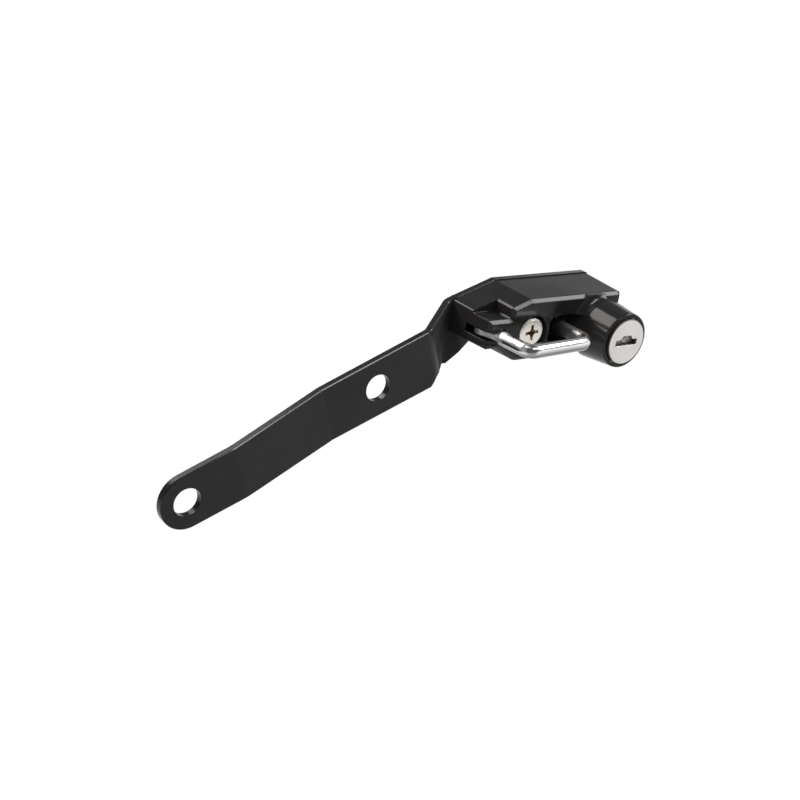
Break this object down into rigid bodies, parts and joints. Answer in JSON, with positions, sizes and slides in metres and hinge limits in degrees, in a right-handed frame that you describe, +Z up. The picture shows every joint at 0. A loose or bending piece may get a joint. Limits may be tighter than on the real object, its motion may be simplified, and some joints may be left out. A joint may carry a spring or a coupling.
{
  "type": "helmet lock",
  "caption": "Key-operated helmet lock: a swinging chrome shackle on a cast body, carried by a bent steel mounting bracket.",
  "frame": {"origin": "centre of the near mounting hole, on the rear mounting face of the arm", "axes": "+X along the arm towards the lock, -Y out of the key face, +Z up across the arm"},
  "size_m": [0.1777, 0.0379, 0.035],
  "materials": {
    "black_paint": "semi-gloss black paint",
    "gloss_black_paint": "gloss black paint on a die casting",
    "satin_nickel": "satin nickel plate",
    "chrome_plate": "bright chrome plate",
    "pin_steel": "plain zinc-plated steel",
    "brass": "plain brass",
    "dull_zinc": "as-cast zinc alloy",
    "satin_stainless": "satin stainless sheet"
  },
  "bodies": {
    "base": {"bracket": "black_paint", "lock_housing": "gloss_black_paint", "fixing_screw": "satin_nickel", "shackle_pivot_pin": "pin_steel", "cylinder_sleeve": "brass", "sleeve_retaining_pin": "pin_steel", "rear_cover": "pin_steel", "cover_screws": "satin_nickel"},
    "shackle": {"shackle": "chrome_plate"},
    "cylinder": {"key_plug": "dull_zinc", "plug_face_cap": "satin_stainless", "drive_cam": "dull_zinc", "plug_retaining_clip": "pin_steel", "wafer_1": "brass", "wafer_2": "brass", "wafer_3": "brass", "wafer_4": "brass", "wafer_5": "brass"},
    "shutter": {"key_shutter": "satin_stainless"},
    "latch": {"latch_bolt": "pin_steel"}
  },
  "joints": [
    {"name": "shackle_swing", "type": "hinge", "parent": "base", "child": "shackle", "pos_m": [0.04183, -0.0048, 0.00183], "axis": [-0.3584, 0, -0.9336], "range_deg": [0, 75]},
    {"name": "plug_turn", "type": "hinge", "parent": "base", "child": "cylinder", "pos_m": [0.0827, -0.0254, -0.0145], "axis": [0, -1, 0], "range_deg": [0, 90]},
    {"name": "latch_throw", "type": "slide", "parent": "base", "child": "latch", "axis": [-0.9336, 0, 0.3584], "range_m": [0, 0.0025]},
    {"name": "shutter_flap", "type": "hinge", "parent": "cylinder", "child": "shutter", "pos_m": [0.08374, -0.0232, -0.01179], "axis": [0.9336, 0, -0.3584], "range_deg": [0, 75]}
  ],
  "couplings": [
    {"joint": "latch_throw", "follows": "plug_turn", "m_per_rad": 0.0015915}
  ]
}
